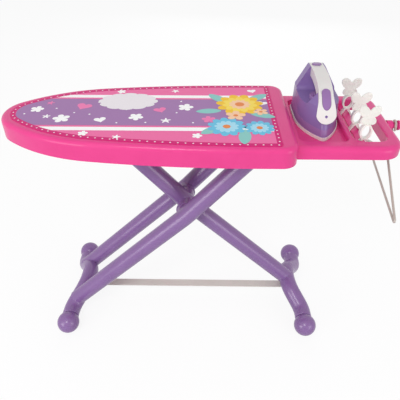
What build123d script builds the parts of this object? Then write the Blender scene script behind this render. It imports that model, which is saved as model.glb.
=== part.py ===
from build123d import *
import math
import os

# Toy ironing board: a moulded board with a tray, on crossed tubular legs that fold flat.
# Millimetres and degrees. +X runs from the round nose to the tray, +Z is up, the floor is at
# Z = 0, and Y = 0 is the middle plane. X = 0 is half way along the whole object.

# Fits
running_clearance = 0.05
seat_gap = 0.3
overrun = 40.0

# Board moulding
nose_x = -382.0
board_end_x = 160.0
board_width = 272.0
board_top = 499.2
board_bottom = 462.0
board_edge_radius = 9.0
board_nose_radius = 62.0
board_shoulder_radius = 310.0
board_side_radius = 1952.0
board_side_x = 68.0
board_corner_radius = 27.0
wall = 3.0
rib_depth = 6.0
rib_thickness = 2.0
rib_spacing = 62.0
rib_offset_y = 96.0
boss_radius = 4.2

# Printed cover
cover_nose_x = -364.0
cover_end_x = 132.0
cover_width = 253.0
cover_thickness = 0.8
cover_nose_radius = 50.0
cover_shoulder_radius = 300.0
cover_side_radius = 2151.0
cover_side_x = 104.0
cover_corner_radius = 7.0

# Tray, with the iron rest, the basket opening and the rail
tray_end_x = 345.0
tray_width = 222.0
tray_top = 488.0
tray_bottom = 465.5
tray_corner_radius = 38.0
tray_edge_radius = 10.0
rest_start_x = 168.0
rest_end_x = 253.0
rest_width = 172.0
rest_depth = 10.0
rest_corner_radius = 12.0
rest_edge_radius = 2.5
opening_start_x = 263.0
opening_end_x = 323.0
opening_width = 170.0
opening_corner_radius = 20.0
opening_edge_radius = 3.0
rail_x = 280.0
rail_width = 16.0
rail_top = 477.0
rail_edge_radius = 2.0

# Hanger peg
peg_z = 475.0
peg_radius = 6.0
peg_flange_radius = 9.5
peg_collar_length = 11.0
peg_groove_length = 10.0
peg_head_length = 4.5
peg_spigot_radius = 3.5
peg_edge_radius = 1.5

# Legs: each frame has a lower arm and an upper arm that meet at the pivot
pivot_x = -39.0
pivot_z = 291.0
lower_arm = 338.7
upper_arm = 232.4
lower_angle = 43.8
upper_angle = 48.5
fold_angle = 40.0
tube_radius = 18.5
leg_bend_radius = 200.0
outer_tube_y = 56.0
knuckle_length = 37.0
hub_half_length = 30.0
hub_radius = 17.5
hub_gap = 0.4
pivot_pin_radius = 6.0
pivot_pin_half_length = 50.0
hub_ring_radius = 19.0
hub_ring_length = 3.0

# Foot bars and ball feet
foot_half_width = 118.0
foot_drop = 43.7
foot_crown_y = 25.0
foot_crown_radius = 62.0
foot_bend_y = 72.0
foot_bend_radius = 36.0
foot_bar_radius = 18.9
ball_radius = 24.6
ball_flat_depth = 0.5
foot_rim_setback = 18.5
foot_rim_radius = 2.0
foot_neck_radius = 16.5
spigot_radius = 11.0
spigot_length = 20.0

# Hinge brackets, axle and slide rails under the board
axle_radius = 5.0
axle_half_length = 84.0
plate_thickness = 3.0
bracket_length = 44.0
ear_radius = 11.0
ear_thickness = 4.0
bracket_side_gap = 0.5
slide_bar_radius = 6.0
slide_bar_half_length = 39.0
rail_end_gap = 1.5
rail_web_y = 40.0
rail_web_thickness = 3.0
rail_lip_inner_y = 24.5
rail_lip_thickness = 2.5
rail_stop_thickness = 3.0
screw_radius = 1.5
screw_head_radius = 3.2
screw_head_height = 1.8
screw_length = 6.5
bracket_screw_pitch = 32.0
rail_screw_inset = 14.0
rail_screw_y = 31.0

# Link strap
strap_z = 32.0
strap_width = 20.0
strap_thickness = 2.5
strap_pin_radius = 2.5
strap_knuckle_radius = 4.8
strap_ear_thickness = 4.0
strap_side_gap = 0.6
strap_stud_radius = 4.0
strap_stud_tail = 3.0
strap_pin_head_radius = 3.5
strap_pin_head_length = 1.6
strap_stud_seat = 8.0
strap_stud_chamfer = 1.0

# Toy iron
iron_x = 211.7
iron_rear_y = 76.0
iron_nose_y = -73.0
iron_side_y = 18.0
iron_half_width = 40.0
sole_thickness = 6.0
sole_nose_radius = 9.0
iron_rear_corner_radius = 12.0
sole_groove_depth = 0.8
sole_groove_height = 1.4
skirt_height = 13.0
iron_height = 91.0
iron_heel_height = 54.0
skirt_inset = 1.5
handle_half_width = 12.5
handle_nose_half_width = 18.0
handle_waist_y = -36.0
handle_thickness = 16.0
handle_end_height = 31.0
grip_floor_share = 0.54
grip_front_y = -24.0
grip_rear_y = 47.0
grip_corner_radius = 8.0
dial_radius = 19.0
dial_height = 6.0
dial_edge_radius = 0.9
dial_y = 4.0
dial_spindle_radius = 3.0
dial_spindle_length = 10.0
dial_grip_width = 4.0
dial_grip_height = 2.5
button_gap = 0.4
button_travel = 1.5
thumb_y = -41.0
thumb_length = 29.0
thumb_width = 15.0
thumb_proud = 1.2
spray_y = 64.0
spray_length = 13.0
spray_width = 17.0
spray_proud = 2.2
button_depth = 5.0
button_stem_radius = 3.2
button_stem_length = 2.0
spring_radius = 2.4
spring_wire_radius = 0.35
spring_height = 6.0
spring_turns = 4.0
nozzle_radius = 2.4
nozzle_bore_radius = 0.9
nozzle_proud = 0.8
nozzle_length = 5.0
nozzle_height_share = 0.47
nozzle_tilt = 20.0
iron_screw_radius = 1.6
iron_screw_head_radius = 3.0
iron_screw_head_height = 2.0
iron_screw_length = 24.0
iron_screw_offset = 14.0
iron_screw_front_y = -18.0
iron_screw_rear_y = 56.0
iron_screw_low = 32.0
iron_screw_high = 66.0
iron_screw_seat = 12.0

# Butterfly clips
clip_back_y = 48.0
clip_middle_y = -19.0
clip_front_y = -74.0
clip_strip = 3.0
clip_depth = 8.0
clip_leg_drop = 14.0
clip_seat_drop = 1.6
clip_neck_height = 12.0
clip_neck_half_gap = 1.2
clip_ring_half_width = 7.5
clip_ring_half_height = 12.0
wing_depth = 3.0
butterfly_rise = 14.0
upper_wing_length = 11.5
upper_wing_height = 8.3
upper_wing_spread = 9.0
upper_wing_rise = 8.0
upper_wing_tilt = 48.0
lower_wing_length = 8.5
lower_wing_height = 7.0
lower_wing_spread = 5.8
lower_wing_drop = 8.0
lower_wing_tilt = -50.0
butterfly_body_half_width = 3.2
butterfly_body_half_height = 10.0

# Clothes hanger
hanger_turn = 7.0
hanger_half_span = 160.0
hanger_bar_z = 356.0
hanger_shoulder_angle = 21.8
hanger_wire_radius = 2.3
hanger_corner_radius = 3.0
hook_inner_radius = 9.0
hook_turn_radius = 8.0
hook_end_angle = 190.0
hook_rest_gap = 0.2

# Iron shape as shares: (nose reach, height) along the handle line, from the nose to the heel
handle_line_shares = [
    (0.93, 0.22), (0.80, 0.53), (0.60, 0.74), (0.30, 0.89), (-0.10, 0.975), (-0.55, 1.0),
    (-1.05, 0.985),
]
# Width share and nose reach share of the iron's body at the heel height and at the top
heel_shares = (0.90, 0.76)
crown_shares = (0.36, 0.42)

# Places worked out from the sizes
board_half_width = board_width / 2
tray_half_width = tray_width / 2
foot_bar_end_y = foot_half_width - foot_rim_setback
ceiling_z = board_top - wall
mount_z = ceiling_z - rib_depth
hinge_x = pivot_x + upper_arm * math.cos(math.radians(upper_angle))
slide_x = pivot_x - upper_arm * math.cos(math.radians(upper_angle))
hinge_z = pivot_z + upper_arm * math.sin(math.radians(upper_angle))
folded_x = hinge_x - 2 * upper_arm * math.cos(math.radians(upper_angle - fold_angle))
rail_start_x = folded_x - slide_bar_radius - rail_end_gap - rail_stop_thickness
foot_run = lower_arm * math.cos(math.radians(lower_angle))
foot_z = pivot_z - lower_arm * math.sin(math.radians(lower_angle))
ball_z = ball_radius - ball_flat_depth
foot_slope = math.asin((foot_z - ball_z) / foot_drop)
ball_run = foot_run + foot_drop * math.cos(foot_slope)
rest_floor = tray_top - rest_depth
opening_half_width = opening_width / 2
iron_base_z = rest_floor + seat_gap
grip_floor_height = grip_floor_share * iron_height
hanger_plane_x = tray_end_x + peg_collar_length + peg_groove_length / 2
both_sides = {"near": -1, "far": 1}
clip_places = {"back": clip_back_y, "middle": clip_middle_y, "front": clip_front_y}


def rod(start, end, radius):
    """A round bar from one point to another."""
    start, end = Vector(*start), Vector(*end)
    bar = Cylinder(radius, (end - start).length, align=(Align.CENTER, Align.CENTER, Align.MIN))
    return Plane(origin=start, z_dir=end - start) * bar


def cross_rod(x, z, y_start, y_end, radius):
    """A round bar along Y."""
    return rod((x, y_start, z), (x, y_end, z), radius)


def block(low, high):
    """A box between two corners."""
    size = [b - a for a, b in zip(low, high)]
    corner = Box(*size, align=(Align.MIN, Align.MIN, Align.MIN))
    return Location(tuple(low)) * corner


def prism(face, bottom, top):
    """A face of the XY plane raised between two heights."""
    return extrude(Location((0, 0, bottom)) * face, top - bottom)


def rounded_rectangle(x_low, x_high, half_width, radius):
    """A rectangle with round corners, in the XY plane."""
    middle = Location(((x_low + x_high) / 2, 0))
    return middle * RectangleRounded(x_high - x_low, 2 * half_width, radius)


def bullet_face(nose, side_x, end, half_width, radii, corner_radius):
    """The board's outline: three tangent arcs from the nose, a straight side and a square end.

    The nose arc's middle and the side arc's middle are known, and the shoulder arc's middle makes a
    triangle with them whose sides are the differences of the radii.
    """
    nose_radius, shoulder_radius, side_radius = radii
    out = Vector(nose + nose_radius, 0) - Vector(side_x, half_width - side_radius)
    short, long = shoulder_radius - nose_radius, side_radius - shoulder_radius
    span = out.length
    lean = math.degrees(math.atan2(-out.X, out.Y))
    low = lean - math.degrees(math.acos((span ** 2 + long ** 2 - short ** 2) / (2 * span * long)))
    high = lean + math.degrees(math.acos((span ** 2 + short ** 2 - long ** 2) / (2 * span * short)))
    tip = JernArc(start=(nose, 0), tangent=(0, 1), radius=nose_radius, arc_size=high - 90)
    shoulder = JernArc(
        start=tip @ 1, tangent=tip % 1, radius=shoulder_radius, arc_size=low - high
    )
    side = JernArc(start=shoulder @ 1, tangent=shoulder % 1, radius=side_radius, arc_size=-low)
    straight = Line(side @ 1, (end, half_width))
    closing = Line((end, half_width), (end, 0))
    half = [tip, shoulder, side, straight, closing]
    lines = Curve() + half + [mirror(edge, about=Plane.XZ) for edge in half]
    face = make_face(lines.edges())
    far = [v for v in face.vertices() if abs(v.X - end) < running_clearance]
    far = [v for v in far if abs(v.Y) > half_width / 2]
    return fillet(far, corner_radius)


def top_edges(shape, height):
    """The edges of a solid that lie in the plane at a height."""
    return shape.edges().filter_by_position(Axis.Z, height - seat_gap, height + seat_gap)


def board_outline(inset):
    """The main board's outline, some way inside its edge."""
    radii = (board_nose_radius, board_shoulder_radius, board_side_radius)
    return bullet_face(
        nose_x + inset, board_side_x, board_end_x - inset, board_half_width - inset,
        [radius - inset for radius in radii], board_corner_radius - inset,
    )


def main_body():
    """The main board as a filled block with a rounded top edge."""
    body = prism(board_outline(0), board_bottom, board_top)
    return fillet(top_edges(body, board_top), board_edge_radius)


def main_hollow():
    """The space under the main board, one wall inside it."""
    slope = board_edge_radius - wall
    hollow = prism(board_outline(wall), board_bottom - overrun, ceiling_z - slope)
    low = Location((0, 0, ceiling_z - slope)) * board_outline(wall)
    high = Location((0, 0, ceiling_z)) * board_outline(board_edge_radius)
    return hollow + loft([low, high], ruled=True)


def tray_outline(inset):
    """The tray's plan outline, its far corners round, from inside the main board."""
    start = board_end_x - board_corner_radius - wall
    end = tray_end_x - inset
    half = tray_half_width - inset
    face = make_face(Polyline((start, -half), (end, -half), (end, half), (start, half), close=True))
    corners = [v for v in face.vertices() if v.X > (start + end) / 2]
    return fillet(corners, tray_corner_radius - inset)


def tray_body():
    """The tray as a filled block with a rounded top edge."""
    body = prism(tray_outline(0), tray_bottom, tray_top)
    return fillet(top_edges(body, tray_top), tray_edge_radius)


def opening_face(grow):
    """The basket opening's outline, or one that is larger all round."""
    return rounded_rectangle(
        opening_start_x - grow, opening_end_x + grow, opening_half_width + grow,
        opening_corner_radius + grow,
    )


def tray_hollow():
    """The space under the tray's rim, clear of the iron rest and of the opening's inner wall."""
    roof = tray_top - wall
    slope = tray_edge_radius - wall
    hollow = prism(tray_outline(wall), tray_bottom - overrun, roof - slope)
    low = Location((0, 0, roof - slope)) * tray_outline(wall)
    high = Location((0, 0, roof)) * tray_outline(tray_edge_radius)
    hollow += loft([low, high], ruled=True)
    hollow -= block(
        (nose_x, -board_width, tray_bottom - 2 * overrun),
        (board_end_x, board_width, board_top),
    )
    hollow -= prism(opening_face(wall), tray_bottom - 2 * overrun, tray_top)
    under_rest = rounded_rectangle(
        rest_start_x - wall, rest_end_x + wall, rest_width / 2 + wall, rest_corner_radius + wall
    )
    return hollow - prism(under_rest, rest_floor - wall, tray_top)


def rest_pocket():
    """The recess that the iron stands in."""
    face = rounded_rectangle(rest_start_x, rest_end_x, rest_width / 2, rest_corner_radius)
    return prism(face, rest_floor, tray_top + overrun)


def mouth_edges(board, start, end):
    """The top edges of a hole in the tray, between two places along the board."""
    edges = top_edges(board, tray_top)
    edges = edges.filter_by_position(Axis.X, start - seat_gap, end + seat_gap)
    reach = tray_half_width - tray_corner_radius / 2
    return [edge for edge in edges if abs(edge.center().Y) < reach]


def basket_rail():
    """The rail across the opening: a channel, open underneath."""
    reach = opening_half_width + wall / 2
    half = rail_width / 2
    bar = block((rail_x - half, -reach, tray_bottom), (rail_x + half, reach, rail_top))
    long_edges = top_edges(bar, rail_top).filter_by(Axis.Y)
    bar = fillet(long_edges, rail_edge_radius)
    inside = block(
        (rail_x - half + wall, -opening_half_width + wall, tray_bottom - overrun),
        (rail_x + half - wall, opening_half_width - wall, rail_top - wall),
    )
    return bar - inside


def screw_places():
    """Where the screws go: the brackets' and the slide rails', as (x, y) pairs."""
    brackets = [
        (hinge_x + side * bracket_screw_pitch / 2, y * outer_tube_y)
        for side in (-1, 1) for y in (-1, 1)
    ]
    first, last = rail_start_x + rail_screw_inset, slide_rail_end() - rail_screw_inset
    rails = [(x, y * rail_screw_y) for x in (first, last) for y in (-1, 1)]
    return brackets, rails


def slide_rail_end():
    """The rails end one stop past the slide bar's place with the legs open."""
    return slide_x + slide_bar_radius + seat_gap + rail_stop_thickness


def underside_ribs(inner):
    """Shallow ribs and screw bosses under the ironing surface, cut to the hollow's outline."""
    shapes = []
    half = rib_thickness / 2
    for y in (-rib_offset_y, rib_offset_y):
        shapes.append(block((nose_x, y - half, mount_z), (board_end_x, y + half, ceiling_z)))
    count = int((board_end_x - nose_x) / rib_spacing)
    for n in range(1, count + 1):
        x = nose_x + n * rib_spacing
        shapes.append(
            block((x - half, -board_width, mount_z), (x + half, board_width, ceiling_z))
        )
    for places in screw_places():
        for x, y in places:
            shapes.append(rod((x, y, mount_z), (x, y, ceiling_z), boss_radius))
    ribs = shapes[0].fuse(*shapes[1:])
    ribs &= inner
    for places in screw_places():
        for x, y in places:
            ribs -= rod((x, y, mount_z), (x, y, ceiling_z), screw_radius + running_clearance)
    return ribs


def board_shell():
    """The whole pink moulding."""
    inner = main_hollow()
    board = main_body() + tray_body() - inner - tray_hollow()
    board -= rest_pocket()
    board -= prism(opening_face(0), tray_bottom - overrun, tray_top + overrun)
    board = fillet(mouth_edges(board, opening_start_x, opening_end_x), opening_edge_radius)
    board = fillet(mouth_edges(board, rest_start_x, rest_end_x), rest_edge_radius)
    board += basket_rail()
    board += underside_ribs(inner)
    spigot = rod(
        (tray_end_x - wall, 0, peg_z), (tray_end_x, 0, peg_z), peg_spigot_radius + running_clearance
    )
    return board - spigot


def printed_cover():
    """The thin printed sheet on the ironing surface."""
    outline = bullet_face(
        cover_nose_x, cover_side_x, cover_end_x, cover_width / 2,
        (cover_nose_radius, cover_shoulder_radius, cover_side_radius), cover_corner_radius,
    )
    return prism(outline, board_top, board_top + cover_thickness)


def hanger_peg():
    """A flanged peg: spigot in the end wall, collar, groove for the hook, and head."""
    collar_end = tray_end_x + peg_collar_length
    groove_end = collar_end + peg_groove_length
    head_end = groove_end + peg_head_length
    steps = [
        (tray_end_x - wall, tray_end_x, peg_spigot_radius),
        (tray_end_x, collar_end, peg_flange_radius),
        (collar_end, groove_end, peg_radius),
        (groove_end, head_end, peg_flange_radius),
    ]
    outline = [(steps[0][0], 0)]
    for start, end, radius in steps:
        outline += [(start, radius), (end, radius)]
    outline.append((head_end, 0))
    face = make_face(Polyline(*outline, close=True))
    rims = [v for v in face.vertices() if abs(v.Y - peg_flange_radius) < running_clearance]
    rims = [v for v in rims if v.X > collar_end - running_clearance]
    face = fillet(rims, peg_edge_radius)
    return Location((0, 0, peg_z)) * revolve(face, Axis.X)


def foot_bar(direction):
    """The arched bar between two ball feet. direction is -1 at the nose end and 1 at the tray."""
    out = Vector(direction * (ball_run - foot_run), 0, ball_z - foot_z)
    crown = Vector(pivot_x + direction * foot_run, 0, foot_z)
    slope = Plane(origin=crown, x_dir=(0, 1, 0), z_dir=Vector(0, 1, 0).cross(out))
    half = [(foot_crown_y, 0), (foot_bend_y, foot_drop), (foot_bar_end_y, foot_drop)]
    line = slope * FilletPolyline(
        *[(-y, drop) for y, drop in reversed(half)], *half,
        radius=[foot_bend_radius, foot_crown_radius, foot_crown_radius, foot_bend_radius],
    )
    bar = sweep(Plane(origin=line @ 0, z_dir=line % 0) * Circle(foot_bar_radius), path=line)
    rims = [face.outer_wire().edges() for face in (bar.faces() | Axis.Y)[:: len(bar.faces()) - 1]]
    bar = fillet([edge for rim in rims for edge in rim], foot_rim_radius)
    for side in (-1, 1):
        ball = Vector(pivot_x + direction * ball_run, side * foot_half_width, ball_z)
        root = ball + Vector(0, -side * (ball_radius + foot_rim_radius), 0)
        tip = ball + Vector(0, -side * (ball_radius - spigot_length), 0)
        bar += rod(root, ball, foot_neck_radius)
        bar -= Location(ball) * Sphere(ball_radius)
        bar += rod(tip, root, spigot_radius)
    return bar


def ball_foot(direction, side):
    """A ball foot with a small flat on the floor, bored for the foot bar's spigot."""
    end = Vector(pivot_x + direction * ball_run, side * foot_half_width, ball_z)
    inward = Vector(0, -side, 0)
    ball = Location(end) * Sphere(ball_radius)
    span = 2 * ball_radius
    ball -= block((end.X - span, end.Y - span, -span), (end.X + span, end.Y + span, 0))
    bore_start = end + inward * (ball_radius - spigot_length - seat_gap)
    return ball - rod(
        bore_start, end + inward * 2 * ball_radius, spigot_radius + running_clearance
    )


def leg_tube(direction, y, coped_to):
    """One bent leg tube, from the foot bar it is coped to, over the pivot, to its knuckle."""
    fall = foot_drop / (foot_bend_y - foot_crown_y)
    extra = max(0, abs(y) - foot_crown_y) * fall / lower_arm
    foot = (
        pivot_x - direction * foot_run * (1 + extra), y,
        pivot_z - (pivot_z - foot_z) * (1 + extra),
    )
    bend = (pivot_x, y, pivot_z)
    top = (pivot_x + direction * (hinge_x - pivot_x), y, hinge_z)
    line = FilletPolyline(foot, bend, top, radius=leg_bend_radius)
    tube = sweep(Plane(origin=line @ 0, z_dir=line % 0) * Circle(tube_radius), path=line) - coped_to
    tube += cross_rod(
        top[0], top[2], y - knuckle_length / 2, y + knuckle_length / 2, tube_radius
    )
    return tube


def outer_leg(side, coped_to):
    """One of the two parallel tubes, with its boss at the crossing and its bores."""
    y = side * outer_tube_y
    leg = leg_tube(1, y, coped_to)
    boss_end = side * (hub_half_length + hub_gap)
    leg += cross_rod(pivot_x, pivot_z, *sorted((y, boss_end)), hub_radius)
    ring_end = boss_end + side * hub_ring_length
    leg += cross_rod(pivot_x, pivot_z, *sorted((ring_end, boss_end)), hub_ring_radius)
    blind = side * (pivot_pin_half_length + seat_gap)
    leg -= cross_rod(
        pivot_x, pivot_z, *sorted((0, blind)), pivot_pin_radius + running_clearance
    )
    return leg - cross_rod(
        hinge_x, hinge_z, *sorted((0, 2 * y)), axle_radius + running_clearance
    )


def inner_leg(coped_to):
    """The single middle tube with the hub barrel across it."""
    leg = leg_tube(-1, 0, coped_to)
    leg += cross_rod(pivot_x, pivot_z, -hub_half_length, hub_half_length, hub_radius)
    leg -= cross_rod(
        pivot_x, pivot_z, -2 * hub_half_length, 2 * hub_half_length,
        pivot_pin_radius + running_clearance,
    )
    return leg - cross_rod(
        slide_x, hinge_z, -2 * hub_half_length, 2 * hub_half_length,
        slide_bar_radius + running_clearance,
    )


def hinge_bracket(side):
    """A clevis: a base plate with two ears, one each side of a leg's knuckle."""
    reach = knuckle_length / 2 + bracket_side_gap + ear_thickness
    y = side * outer_tube_y
    plate = block(
        (hinge_x - bracket_length / 2, y - reach, mount_z - plate_thickness),
        (hinge_x + bracket_length / 2, y + reach, mount_z),
    )
    for start in (y - reach, y + reach - ear_thickness):
        ear = cross_rod(hinge_x, hinge_z, start, start + ear_thickness, ear_radius)
        ear += block(
            (hinge_x - ear_radius, start, hinge_z),
            (hinge_x + ear_radius, start + ear_thickness, mount_z - plate_thickness),
        )
        plate += ear
    plate -= cross_rod(
        hinge_x, hinge_z, y - overrun, y + overrun, axle_radius + running_clearance
    )
    for x, screw_y in screw_places()[0]:
        plate -= rod(
            (x, screw_y, hinge_z), (x, screw_y, mount_z), screw_radius + running_clearance
        )
    return plate


def slide_rail(side):
    """A channel that the inner frame's top bar slides in, with a stop at each end."""
    end = slide_rail_end()
    top = hinge_z + slide_bar_radius + seat_gap
    bottom = hinge_z - slide_bar_radius - seat_gap
    web = (rail_web_y, rail_web_y + rail_web_thickness)
    rail = block((rail_start_x, web[0], bottom - rail_lip_thickness), (end, web[1], mount_z))
    rail += block(
        (rail_start_x, rail_lip_inner_y, mount_z - plate_thickness), (end, web[1], mount_z)
    )
    rail += block(
        (rail_start_x, rail_lip_inner_y, top), (end, web[1], top + rail_lip_thickness)
    )
    rail += block(
        (rail_start_x, rail_lip_inner_y, bottom - rail_lip_thickness), (end, web[1], bottom)
    )
    for x in (rail_start_x, end - rail_stop_thickness):
        rail += block(
            (x, rail_lip_inner_y, bottom - rail_lip_thickness),
            (x + rail_stop_thickness, web[1], top + rail_lip_thickness),
        )
    seat = mount_z - plate_thickness
    for x, y in screw_places()[1]:
        if y < 0:
            continue
        rail -= rod((x, y, seat - overrun), (x, y, mount_z), screw_radius + running_clearance)
        rail -= rod((x, y, seat - overrun), (x, y, seat), screw_head_radius + seat_gap)
    return rail if side > 0 else mirror(rail, about=Plane.XZ)


def screws(places):
    """Pan-head screws, one at each place, driven up into the bosses."""
    seat = mount_z - plate_thickness
    group = []
    for x, y in places:
        head = rod((x, y, seat - screw_head_height), (x, y, seat), screw_head_radius)
        group.append(head + rod((x, y, seat), (x, y, seat + screw_length), screw_radius))
    return Compound(group)


def outer_foot_bar():
    """The foot bar at the nose end with its two ears for the strap's pin."""
    bar = foot_bar(-1)
    x = pivot_x - foot_run
    inner = strap_width / 2 + strap_side_gap
    for start in (-inner - strap_ear_thickness, inner):
        ear = cross_rod(x, strap_z, start, start + strap_ear_thickness, strap_knuckle_radius)
        ear += block(
            (x - strap_knuckle_radius, start, strap_z),
            (x + strap_knuckle_radius, start + strap_ear_thickness, foot_z),
        )
        bar += ear
    return bar - cross_rod(
        x, strap_z, -overrun, overrun, strap_pin_radius + running_clearance
    )


def inner_foot_bar():
    """The foot bar at the tray end, bored for the strap's stud."""
    x = pivot_x + foot_run
    seat = foot_z - foot_bar_radius + strap_stud_seat
    return foot_bar(1) - rod((x, 0, strap_z), (x, 0, seat), strap_stud_radius + running_clearance)


def strap_pin():
    """The headed pin of the strap's hinge."""
    x = pivot_x - foot_run
    reach = strap_width / 2 + strap_side_gap + strap_ear_thickness
    pin = cross_rod(x, strap_z, -reach, reach, strap_pin_radius)
    pin += cross_rod(x, strap_z, reach, reach + strap_pin_head_length, strap_pin_head_radius)
    return pin + cross_rod(
        x, strap_z, -reach - strap_pin_head_length, -reach, strap_pin_head_radius
    )


def strap_stud():
    """The round stud under the foot bar at the tray end, through the strap's eye."""
    x = pivot_x + foot_run
    tip = strap_z - strap_thickness / 2 - strap_stud_tail
    seat = foot_z - foot_bar_radius + strap_stud_seat
    stud = rod((x, 0, tip), (x, 0, seat), strap_stud_radius)
    return chamfer(stud.edges().sort_by(Axis.Z)[0], strap_stud_chamfer)


def link_strap():
    """The flat strap: a knuckle on the pin at one end and an eye on the stud at the other."""
    start, end = pivot_x - foot_run, pivot_x + foot_run
    half = strap_width / 2
    strap = cross_rod(start, strap_z, -half, half, strap_knuckle_radius)
    low, high = strap_z - strap_thickness / 2, strap_z + strap_thickness / 2
    strap += block((start, -half, low), (end, half, high))
    strap += rod((end, 0, low), (end, 0, high), half)
    strap -= cross_rod(start, strap_z, -overrun, overrun, strap_pin_radius + running_clearance)
    return strap - rod(
        (end, 0, low - overrun), (end, 0, high + overrun), strap_stud_radius + running_clearance
    )


def iron_section(height, half_width, nose_y):
    """A flat-iron plan outline at a height above the sole: round nose, full sides, flat heel."""
    side_y = iron_side_y
    arc_radius = ((side_y - nose_y) ** 2 + half_width ** 2) / (2 * half_width)
    bow = math.asin((side_y - nose_y) / arc_radius) / 2
    mid_x = half_width - arc_radius * (1 - math.cos(bow))
    mid_y = side_y - arc_radius * math.sin(bow)
    right = ThreePointArc((half_width, side_y), (mid_x, mid_y), (0, nose_y))
    left = ThreePointArc((0, nose_y), (-mid_x, mid_y), (-half_width, side_y))
    rear = Polyline(
        (-half_width, side_y), (-half_width, iron_rear_y), (half_width, iron_rear_y),
        (half_width, side_y),
    )
    face = make_face((Curve() + [right, left, rear]).edges())
    share = half_width / iron_half_width
    tip = [v for v in face.vertices() if abs(v.Y - nose_y) < running_clearance]
    face = fillet(tip, sole_nose_radius * share)
    heel = [v for v in face.vertices() if abs(v.Y - iron_rear_y) < running_clearance]
    face = fillet(heel, iron_rear_corner_radius * share)
    return Location((iron_x, 0, iron_base_z + height)) * face


def iron_soleplate():
    """The white sole with a fine groove round its edge."""
    face = iron_section(0, iron_half_width, iron_nose_y)
    sole = extrude(face, sole_thickness, dir=(0, 0, 1))
    low = (sole_thickness - sole_groove_height) / 2
    core = iron_section(
        low, iron_half_width - sole_groove_depth, iron_nose_y + 2 * sole_groove_depth
    )
    outer = iron_section(low, iron_half_width + overrun, iron_nose_y - overrun)
    ring = extrude(outer, sole_groove_height, dir=(0, 0, 1)) - extrude(
        core, sole_groove_height, dir=(0, 0, 1)
    )
    return sole - ring


def iron_skirt():
    """The coloured band between the sole and the body."""
    low = iron_section(
        sole_thickness, iron_half_width - skirt_inset / 2, iron_nose_y + skirt_inset
    )
    high = iron_section(
        sole_thickness + skirt_height, iron_half_width - 2 * skirt_inset,
        iron_nose_y + 3 * skirt_inset,
    )
    return loft([low, high], ruled=True)


def iron_envelope():
    """The tapered body between the skirt and the top of the handle."""
    low = iron_section(
        sole_thickness + skirt_height, iron_half_width - 2 * skirt_inset,
        iron_nose_y + 3 * skirt_inset,
    )
    middle = iron_section(
        iron_heel_height, iron_half_width * heel_shares[0], iron_nose_y * heel_shares[1]
    )
    top = iron_section(
        iron_height, iron_half_width * crown_shares[0], iron_nose_y * crown_shares[1]
    )
    return loft([low, middle], ruled=True) + loft([middle, top], ruled=True)


def handle_points(drop):
    """Points along the handle line in the iron's middle plane, some way below it."""
    return [
        (iron_x, abs(iron_nose_y) * -reach, iron_base_z + iron_height * rise - drop)
        for reach, rise in handle_line_shares
    ]


def handle_height(y):
    """The handle line's height at a place along the iron."""
    points = handle_points(0)
    for first, second in zip(points, points[1:]):
        if first[1] <= y <= second[1]:
            share = (y - first[1]) / (second[1] - first[1])
            return first[2] + share * (second[2] - first[2])
    return points[-1][2]


def below_handle_line(drop, half_width):
    """Everything below the handle line, as a prism of some width."""
    points = handle_points(drop)
    first, last = points[0], points[-1]
    line = Spline(*points)
    floor = iron_base_z - overrun
    rest = Polyline(
        last, (iron_x, last[1], floor), (iron_x, iron_nose_y - overrun, floor),
        (iron_x, iron_nose_y - overrun, first[2]), first,
    )
    face = make_face((Curve() + [line, rest]).edges())
    return extrude(face, half_width, dir=(1, 0, 0), both=True)


def iron_column(face):
    """A plan face raised from the skirt's top through the rest of the iron."""
    low = iron_base_z + sole_thickness + skirt_height
    return prism(face, low, iron_base_z + iron_height + overrun)


def grip_cut():
    """The finger gap: everything above the body's floor, from the nose post to the heel post."""
    low = iron_base_z + grip_floor_height
    high = iron_base_z + iron_height + overrun
    profile = Polyline(
        (iron_x, grip_front_y, low), (iron_x, grip_rear_y, low),
        (iron_x, grip_rear_y + grip_corner_radius, high),
        (iron_x, grip_front_y - grip_corner_radius, high), close=True,
    )
    cut = extrude(make_face(profile), iron_half_width + overrun, dir=(1, 0, 0), both=True)
    edges = cut.edges().filter_by(Axis.X)
    edges = [e for e in edges if abs(e.center().Z - low) < running_clearance]
    return fillet(edges, grip_corner_radius)


def handle_plan():
    """The handle's width from above: wide at the nose, drawn in to a slimmer grip."""
    nose = (handle_nose_half_width, handle_points(0)[0][1])
    waist = (handle_half_width, handle_waist_y)
    rear = (handle_half_width, iron_rear_y)
    right = [Spline(nose, waist, tangents=((0, 1), (0, 1))), Line(waist, rear)]
    left = [mirror(edge, about=Plane.YZ) for edge in right]
    ends = [Line((-nose[0], nose[1]), nose), Line((-rear[0], rear[1]), rear)]
    face = make_face((Curve() + right + left + ends).edges())
    return Location((iron_x, 0, 0)) * face


def handle_band():
    """The handle's volume, from the handle line to one handle thickness below it."""
    band = iron_column(handle_plan()) & below_handle_line(0, iron_half_width)
    band -= below_handle_line(handle_thickness, iron_half_width + overrun)
    end = iron_base_z + handle_end_height + handle_nose_half_width
    front = Plane(origin=(iron_x, iron_rear_y + overrun, end), x_dir=(1, 0, 0), z_dir=(0, -1, 0))
    reach = 2 * (iron_rear_y + overrun)
    rounded = extrude(front * Circle(handle_nose_half_width), reach)
    span = iron_half_width + overrun
    above = block((iron_x - span, -reach, end), (iron_x + span, reach, end + iron_height))
    return band & (rounded + above)


def button_places():
    """The two buttons: (middle y, length, width, how far it stands proud)."""
    return {
        "thumb": (thumb_y, thumb_length, thumb_width, thumb_proud),
        "spray": (spray_y, spray_length, spray_width, spray_proud),
    }


def stem_end(name):
    """The height of the flat end of a button's stem."""
    y = button_places()[name][0]
    low = min(handle_height(y - button_stem_radius), handle_height(y + button_stem_radius))
    return low - button_depth - button_stem_length


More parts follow.
